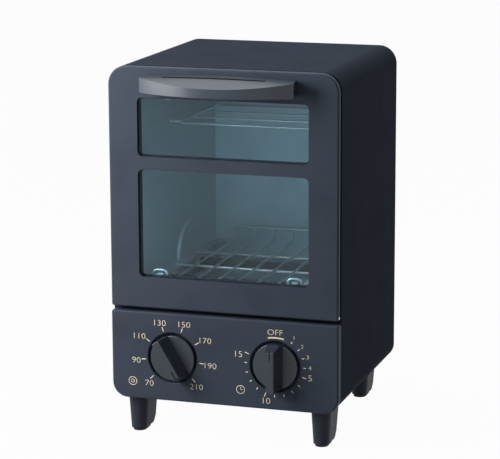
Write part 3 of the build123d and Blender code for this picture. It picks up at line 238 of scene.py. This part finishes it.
# Black zinc on screws.
black_zinc = finish("black_zinc", "#1c1c1d", "#232325", 0.45, 0.8, 0.003, metallic=0.6)
# Oxidised iron-chrome-aluminium resistance wire.
resistance_wire = finish("resistance_wire", "#4c4a47", "#5a5753", 0.55, 0.8, 0.003, metallic=1.0)
# Phenolic mouldings, satin, with a fine spark-eroded texture from the mould.
handle_moulding = finish("phenolic_handle", "#2a323e", "#303946", 0.30, 0.8, 0.0015, uneven=0.02)
knob_moulding = finish("phenolic_knob", "#242b35", "#2a323d", 0.36, 0.8, 0.003, uneven=0.03)
foot_moulding = finish("polyamide_foot", "#292e36", "#2f343d", 0.55, 0.8, 0.010, specular=0.15)
bushing_moulding = finish("polyamide_bushing", "#18191b", "#1d1e20", 0.50, 0.8, 0.008)
cream_moulding = finish("melamine_timer_case", "#cfc9ba", "#dad5c8", 0.45, 0.8, 0.006)
pad_rubber = finish("nitrile_rubber", "#161616", "#1c1c1c", 0.80, 0.9, 0.020)
# Steatite, pressed and fired without glaze: off-white and slightly speckled.
steatite = finish("steatite", "#d6d1c2", "#e2ddd0", 0.62, 0.9, 0.012, mottle_mm=5.0)
# Spun brass: the spinning tool leaves fine rings.
bell_brass = finish("spun_brass", "#b3924e", "#c3a35d", 0.30, 0.8, 0.006, metallic=1.0,
                    stretch=(1, 4, 1))
# Pad-printed enamel ink, cream with a touch of gold.
dial_ink = finish("dial_ink", "#f6e4c0", "#ffeecb", 0.55, 0.8, 0.002)
# Toughened soda-lime float glass, and fused quartz tube. The pane is flat and thin, so it hardly shifts
# what is behind it: its bending is left out, and a clear coat at the IOR of glass carries its gloss.
door_glass = see_through("toughened_glass", "#93d2ea", 0.02, 0.40, NO_BENDING, 60.0, gloss=1.0)
quartz = see_through("fused_quartz", "#8f969a", 0.60, 0.3, QUARTZ_IOR, 20.0, specular=0.1)

# The slot along the top of the handle, from its rear face and its offset along the handle. Its walls and a thin
# rim round it get painted shade.
SLOT_SETBACK = 9.5 * MM
SLOT_WIDTH = 2.6 * MM
SLOT_LENGTH = 95.0 * MM
SLOT_OFFSET = -4.5 * MM
SLOT_RIM = 0.8 * MM
SLOT_SHADE = "#08090a"
handle_low, handle_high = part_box("door_handle")
slot_y = handle_high.y - SLOT_SETBACK
slot_x = (handle_low.x + handle_high.x) / 2 + SLOT_OFFSET
half_length = SLOT_LENGTH / 2 + SLOT_RIM
half_width = SLOT_WIDTH / 2 + SLOT_RIM
# Painted shade: the slot's walls and a rim of SLOT_RIM round its mouth are drawn in SLOT_SHADE, near black, and
# made fully rough.
darken_slot(handle_moulding,
            (slot_x - half_length, slot_y - half_width, handle_low.z),
            (slot_x + half_length, slot_y + half_width, handle_high.z + MM),
            SLOT_SHADE)

FINISHES = {
    "case_paint": case_coat, "front_paint": front_coat, "galvanised_steel": galvanised,
    "aluminised_steel": aluminised, "bright_wire": nickel_wire, "door_glass": door_glass,
    "quartz": quartz, "heater_wire": resistance_wire, "handle_plastic": handle_moulding,
    "knob_plastic": knob_moulding, "foot_plastic": foot_moulding, "pad_rubber": pad_rubber,
    "zinc_fasteners": zinc, "black_fasteners": black_zinc, "control_ceramic": steatite,
    "timer_housing": cream_moulding, "bell_brass": bell_brass, "bushing_plastic": bushing_moulding,
}
for subpart in frame["record"]["subparts"]:
    for material_slot in nodes[subpart["node"]].material_slots:
        material_slot.material = FINISHES[subpart["material_slot"]]
# The frame inside the door is coated dark, so that the edges of the windows stay quiet.
for material_slot in nodes["door_inner_frame"].material_slots:
    material_slot.material = case_coat

# ---- Print on the control panel ----

panel_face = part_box("control_panel")[0].y
INK = 0.04 * MM
LETTER_STRETCH = 1.14
LETTER_THINNING = -0.018
TICK_WIDTH = 0.75
SYMBOL_LINE = 0.5
SYMBOL_RADIUS = 3.8
OFF_BAR_WIDTH = 1.3
MINUTE_START = 15.5
MINUTE_STEP = 18.4
axes = {joint["name"]: Vector(joint["pos_m"]) for joint in frame["joints"] if "pos_m" in joint}
heater_axis = axes["heater_knob_turn"]
timer_axis = axes["timer_knob_turn"]


def on_dial(axis, degrees, radius_mm):
    """A place on the panel, clockwise from the top of a knob."""
    turn = math.radians(degrees)
    return Vector((axis.x + radius_mm * MM * math.sin(turn), panel_face,
                   axis.z + radius_mm * MM * math.cos(turn)))


def printed_word(text, centre, height_mm):
    """Figures or letters of a given height, facing the front."""
    bpy.ops.object.text_add()
    word = bpy.context.object
    word.data.body = text
    word.data.align_x = "CENTER"
    word.data.align_y = "CENTER"
    word.data.extrude = 0.5
    word.data.offset = LETTER_THINNING
    word.data.resolution_u = 4
    nothing_selected()
    word.select_set(True)
    bpy.context.view_layer.objects.active = word
    bpy.ops.object.convert(target="MESH")
    word = bpy.context.object
    xs = [v.co.x for v in word.data.vertices]
    ys = [v.co.y for v in word.data.vertices]
    size = height_mm * MM / (max(ys) - min(ys))
    middle = Vector(((max(xs) + min(xs)) / 2, (max(ys) + min(ys)) / 2, 0))
    upright = Matrix.Rotation(math.radians(90), 4, "X")
    word.data.transform(
        Matrix.Translation(Vector(centre) - Vector((0, INK / 2, 0)))
        @ upright @ Matrix.Diagonal((size * LETTER_STRETCH, size, INK, 1))
        @ Matrix.Translation(-middle))
    return word


def round_the_knob(axis, mark, bearings):
    """Copies of a mark above a knob, turned clockwise to each bearing, in place of the mark."""
    copies = []
    for bearing in bearings:
        turned = mark.copy()
        turned.data = mark.data.copy()
        bpy.context.scene.collection.objects.link(turned)
        turned.data.transform(
            Matrix.Translation(axis) @ Matrix.Rotation(math.radians(bearing), 4, "Y")
            @ Matrix.Translation(-axis))
        copies.append(turned)
    bpy.data.objects.remove(mark)
    return copies


def tick(axis, inner_mm, outer_mm):
    """A short stroke straight above a knob."""
    return printed_line(on_dial(axis, 0, inner_mm), on_dial(axis, 0, outer_mm), TICK_WIDTH)


def printed_line(start, end, width_mm):
    """A stroke with round ends between two places on the panel."""
    along = end - start
    bpy.ops.mesh.primitive_plane_add(size=1)
    line = bpy.context.object
    bpy.ops.object.mode_set(mode="EDIT")
    bpy.ops.mesh.select_all(action="SELECT")
    bpy.ops.transform.resize(value=(along.length + width_mm * MM, width_mm * MM, 1))
    bpy.ops.mesh.bevel(offset=0.42 * width_mm * MM, segments=3, affect="VERTICES")
    bpy.ops.mesh.select_all(action="SELECT")
    bpy.ops.mesh.extrude_region_move(TRANSFORM_OT_translate={"value": (0, 0, INK)})
    bpy.ops.mesh.select_all(action="SELECT")
    bpy.ops.mesh.normals_make_consistent(inside=False)
    bpy.ops.object.mode_set(mode="OBJECT")
    lean = Matrix.Rotation(-math.atan2(along.z, along.x), 4, "Y")
    upright = Matrix.Rotation(math.radians(90), 4, "X")
    line.data.transform(Matrix.Translation((start + end) / 2) @ lean @ upright)
    return line


def printed_arc(centre, radius_mm, width_mm, first, last):
    """A stroke along part of a circle, from one bearing to another."""
    full = abs(last - first) >= 360
    steps = max(8, int(abs(last - first) / 6))
    bpy.ops.mesh.primitive_plane_add(size=1)
    arc = bpy.context.object
    half = width_mm * MM / 2
    place = Matrix.Translation(Vector((centre.x, panel_face, centre.z)))
    bearing = Matrix.Rotation(math.radians(first), 4, "Y")
    bpy.ops.object.mode_set(mode="EDIT")
    bpy.ops.mesh.select_all(action="SELECT")
    bpy.ops.mesh.delete(type="ONLY_FACE")
    bpy.ops.object.mode_set(mode="OBJECT")
    corners = [(-half, 0), (half, 0), (half, -INK), (-half, -INK)]
    order = [0, 1, 3, 2]
    for index, (out, front) in zip(order, corners):
        arc.data.vertices[index].co = place @ bearing @ Vector((0, front, radius_mm * MM + out))
    bpy.ops.object.mode_set(mode="EDIT")
    bpy.ops.mesh.select_all(action="SELECT")
    if not full:
        bpy.ops.mesh.edge_face_add()
        bpy.ops.mesh.select_all(action="SELECT")
    bpy.ops.mesh.spin(steps=steps, angle=math.radians(first - last),
                      center=(centre.x, panel_face, centre.z), axis=(0, 1, 0))
    bpy.ops.mesh.select_all(action="SELECT")
    bpy.ops.mesh.remove_doubles(threshold=1e-6)
    bpy.ops.mesh.normals_make_consistent(inside=False)
    bpy.ops.object.mode_set(mode="OBJECT")
    return arc


def heater_scale():
    """Eight temperatures round the left knob, each with its tick."""
    figures = [(70, -138, 34.0), (90, -97, 35.5), (110, -59.5, 36.8), (130, -20, 34.4),
               (150, 20, 34.4), (170, 59.5, 37.0), (190, 97, 36.9), (210, 138, 34.2)]
    ticks = (-134, -96, -57, -19, 19, 57, 96, 134)
    marks = [printed_word(str(text), on_dial(heater_axis, bearing, radius), 5.2)
             for text, bearing, radius in figures]
    return marks + round_the_knob(heater_axis, tick(heater_axis, 26.3, 29.9), ticks)


def timer_scale():
    """OFF at the top of the right knob, and fifteen minutes clockwise from it."""
    figures = [(1, 32.5, 33.0, 3.4), (2, 51.4, 32.5, 3.4), (3, 70.4, 32.4, 3.4), (4, 88, 32.6, 3.4),
               (5, 104.5, 33.8, 5.4), (10, 194, 33.8, 5.4), (15, 284.5, 35.6, 5.4)]
    marks = [printed_word("OFF", on_dial(timer_axis, 0, 31.6), 5.0),
             printed_arc(timer_axis - Vector((0, 0, 14 * MM)), 40.6, OFF_BAR_WIDTH, -9.5, 11.5)]
    marks += [printed_word(str(text), on_dial(timer_axis, bearing, radius), height)
              for text, bearing, radius, height in figures]
    bearings = {minute: MINUTE_START + MINUTE_STEP * minute for minute in range(1, 16)}
    marks += round_the_knob(timer_axis, tick(timer_axis, 26.9, 30.4),
                            [bearings[minute] for minute in bearings if minute % 5 == 0])
    return marks + round_the_knob(timer_axis, tick(timer_axis, 26.9, 28.6),
                                  [bearings[minute] for minute in bearings if minute % 5])


def dial_symbols():
    """Plain round symbols: a ring element for the heater, clock hands for the timer."""
    heat = on_dial(heater_axis, 0, 0) + Vector((-39.0, 0, -24.5)) * MM
    clock = on_dial(timer_axis, 0, 0) + Vector((-32.8, 0, -24.3)) * MM
    marks = [printed_arc(centre, radius, SYMBOL_LINE, 0, 360)
             for centre, radius in ((heat, SYMBOL_RADIUS), (clock, SYMBOL_RADIUS), (heat, 1.5))]
    for hand in ((0, 0, 2.4), (1.8, 0, 0)):
        marks.append(printed_line(clock, clock + Vector(hand) * MM, SYMBOL_LINE))
    return marks


settle(joined(heater_scale()), "heater_scale_print", dial_ink, "cabinet")
settle(joined(timer_scale()), "timer_scale_print", dial_ink, "cabinet")
settle(joined(dial_symbols()), "dial_symbols", dial_ink, "cabinet")

# ---- Lip behind the control panel ----

LIP_HEIGHT = 6 * MM
LIP_SHEET = 0.8 * MM
LIP_GAP = 0.1 * MM
LIP_FLANGE = 5 * MM
LIP_END_ROOM = 2 * MM


def panel_lip():
    """Folded strip under the front frame that closes the slit above the control panel."""
    frame_low, frame_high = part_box("front_frame")
    bpy.ops.mesh.primitive_cube_add(size=1)
    lip = bpy.context.object
    lip.data.transform(
        Matrix.Translation((0, frame_low.y + 2.4 * LIP_SHEET, frame_low.z - LIP_GAP - LIP_HEIGHT / 2))
        @ Matrix.Diagonal((frame_high.x - frame_low.x - 2 * LIP_END_ROOM, LIP_SHEET, LIP_HEIGHT, 1)))
    bpy.ops.object.mode_set(mode="EDIT")
    bpy.ops.mesh.select_mode(type="FACE")
    bpy.ops.mesh.select_all(action="DESELECT")
    bpy.ops.object.mode_set(mode="OBJECT")
    for face in lip.data.polygons:
        face.select = face.normal.z < -0.9
    bpy.ops.object.mode_set(mode="EDIT")
    bpy.ops.mesh.extrude_region_move(TRANSFORM_OT_translate={"value": (0, 0, -LIP_SHEET)})
    bpy.ops.mesh.select_all(action="DESELECT")
    bpy.ops.object.mode_set(mode="OBJECT")
    fold_z = frame_low.z - LIP_GAP - LIP_HEIGHT
    for face in lip.data.polygons:
        face.select = face.normal.y > 0.9 and face.center.z < fold_z
    bpy.ops.object.mode_set(mode="EDIT")
    bpy.ops.mesh.extrude_region_move(TRANSFORM_OT_translate={"value": (0, LIP_FLANGE, 0)})
    bpy.ops.mesh.select_mode(type="VERT")
    bpy.ops.mesh.select_all(action="SELECT")
    bpy.ops.mesh.normals_make_consistent(inside=False)
    bpy.ops.mesh.bevel(offset=0.15 * LIP_SHEET, segments=2, affect="EDGES")
    bpy.ops.object.mode_set(mode="OBJECT")
    return lip


settle(panel_lip(), "panel_lip", case_coat, "cabinet")

# ---- Heater coils ----

COIL_PITCH = 1.9 * MM
COIL_WIRE = 0.35 * MM
COIL_LEAD = 8 * MM
STEPS_PER_TURN = 14


def wound_coil(length, radius):
    """Resistance wire wound into an open helix about the origin, along X."""
    bpy.ops.mesh.primitive_circle_add(vertices=6, radius=COIL_WIRE, rotation=(math.radians(90), 0, 0))
    coil = bpy.context.object
    bpy.ops.object.transform_apply(location=True, rotation=True, scale=True)
    turns = int((length - 2 * COIL_LEAD) / COIL_PITCH)
    coil.data.transform(Matrix.Translation((-turns * COIL_PITCH / 2, 0, radius - COIL_WIRE)))
    screw = coil.modifiers.new("winding", "SCREW")
    screw.axis = "X"
    screw.screw_offset = COIL_PITCH
    screw.iterations = turns
    screw.steps = STEPS_PER_TURN
    screw.render_steps = STEPS_PER_TURN
    screw.use_merge_vertices = False
    bpy.ops.object.modifier_apply(modifier="winding")
    bpy.ops.object.mode_set(mode="EDIT")
    bpy.ops.mesh.select_all(action="DESELECT")
    bpy.ops.mesh.select_non_manifold()
    bpy.ops.mesh.fill()
    bpy.ops.mesh.select_all(action="SELECT")
    bpy.ops.mesh.normals_make_consistent(inside=False)
    bpy.ops.object.mode_set(mode="OBJECT")
    bpy.ops.object.shade_smooth()
    return coil


for place in ("front", "rear"):
    low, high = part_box("lower_heater_coil_" + place)
    first = wound_coil(high.x - low.x, (high.z - low.z) / 2)
    second = first.copy()
    second.data = first.data.copy()
    bpy.context.scene.collection.objects.link(second)
    for level, coil in (("lower", first), ("upper", second)):
        node = level + "_heater_coil_" + place
        coil.data.transform(Matrix.Translation(sum(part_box(node), Vector()) / 2))
        settle(coil, level + "_heater_winding_" + place, resistance_wire, "cabinet")
        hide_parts(node)

# ---- Soft light, pale floor and camera ----


def soft_panel(name, place, aim, width, height, watts):
    """A large soft lamp that faces a point."""
    data = bpy.data.lights.new(name, "AREA")
    data.shape = "RECTANGLE"
    data.size = width
    data.size_y = height
    data.energy = watts
    lamp = bpy.data.objects.new(name, data)
    bpy.context.scene.collection.objects.link(lamp)
    lamp.location = place
    lamp.rotation_euler = (Vector(aim) - Vector(place)).to_track_quat("-Z", "Y").to_euler()


def seen_by_eye(tree):
    """One where the ray is from the camera, a reflection or through glass, and nought elsewhere."""
    path = add_node(tree, "LightPath")
    direct = add_node(tree, "Math",
                      {0: path.outputs["Is Camera Ray"], 1: path.outputs["Is Glossy Ray"]},
                      operation="MAXIMUM")
    return add_node(tree, "Math", {0: direct.outputs["Value"], 1: path.outputs["Is Transmission Ray"]},
                    operation="MAXIMUM")


FLOOR_SIZE = 30
FLOOR_WHITE_SHARE = 0.97
SKY_LIGHT = 0.065
SKY_TO_THE_EYE = 1.0


def pale_floor():
    """A large plain floor under the feet. The eye sees it white, with a share left for the shadow."""
    bpy.ops.mesh.primitive_plane_add(size=FLOOR_SIZE, location=(0, 0, cad_box[0][2]))
    floor = bpy.context.object
    floor.name = "floor"
    material, tree, shader = blank_material("white_floor")
    shader.inputs["Base Color"].default_value = linear("#8e8e8e")
    shader.inputs["Roughness"].default_value = 0.9
    white = add_node(tree, "Emission", Color=(1, 1, 1, 1), Strength=1.0)
    seen = seen_by_eye(tree)
    share = add_node(tree, "Math", {0: seen.outputs["Value"]}, operation="MULTIPLY")
    share.inputs[1].default_value = FLOOR_WHITE_SHARE
    mix = add_node(tree, "MixShader", {"Fac": share.outputs["Value"], 1: shader.outputs["BSDF"],
                                       2: white.outputs["Emission"]})
    out = next(node for node in tree.nodes if node.type == "OUTPUT_MATERIAL")
    tree.links.new(mix.outputs["Shader"], out.inputs["Surface"])
    floor.data.materials.append(material)


def studio_world():
    """White to the eye and in reflections, dimmer as a source of light."""
    world = bpy.data.worlds.new("studio")
    world.use_nodes = True
    bpy.context.scene.world = world
    tree = world.node_tree
    tree.nodes.clear()
    seen = seen_by_eye(tree)
    strength = add_node(tree, "MapRange", {"Value": seen.outputs["Value"]})
    strength.inputs["To Min"].default_value = SKY_LIGHT
    strength.inputs["To Max"].default_value = SKY_TO_THE_EYE
    sky = add_node(tree, "Background", {"Strength": strength.outputs["Result"]}, Color=(1, 1, 1, 1))
    out = add_node(tree, "OutputWorld")
    tree.links.new(sky.outputs["Background"], out.inputs["Surface"])


pale_floor()
studio_world()
soft_panel("key_panel", (-0.44, -0.40, 0.44), (-0.05, -0.08, 0.2), 0.34, 0.42, 5.4)
soft_panel("top_panel", (-0.3, 0.1, 1.5), (0, 0, 0.2), 1.0, 1.0, 16)
soft_panel("fill_panel", (1.1, 0.45, 0.5), (0.1, 0, 0.17), 0.8, 0.8, 2.2)

# The camera stands to the oven's right and looks slightly down.
TURN = math.radians(17.75)
DOWN = math.radians(12.02)
ROLL = -0.0043
STAND = (0.6084, -1.9112, 0.6070)
camera_data = bpy.data.cameras.new("camera")
camera_data.lens = 157.85
camera_data.sensor_width = 36
camera_data.sensor_fit = "HORIZONTAL"
camera = bpy.data.objects.new("camera", camera_data)
bpy.context.scene.collection.objects.link(camera)
camera.matrix_world = (
    Matrix.Translation(STAND)
    @ Matrix.Rotation(TURN, 4, "Z")
    @ Matrix.Rotation(math.radians(90) - DOWN, 4, "X")
    @ Matrix.Rotation(ROLL, 4, "Z"))
bpy.context.scene.camera = camera
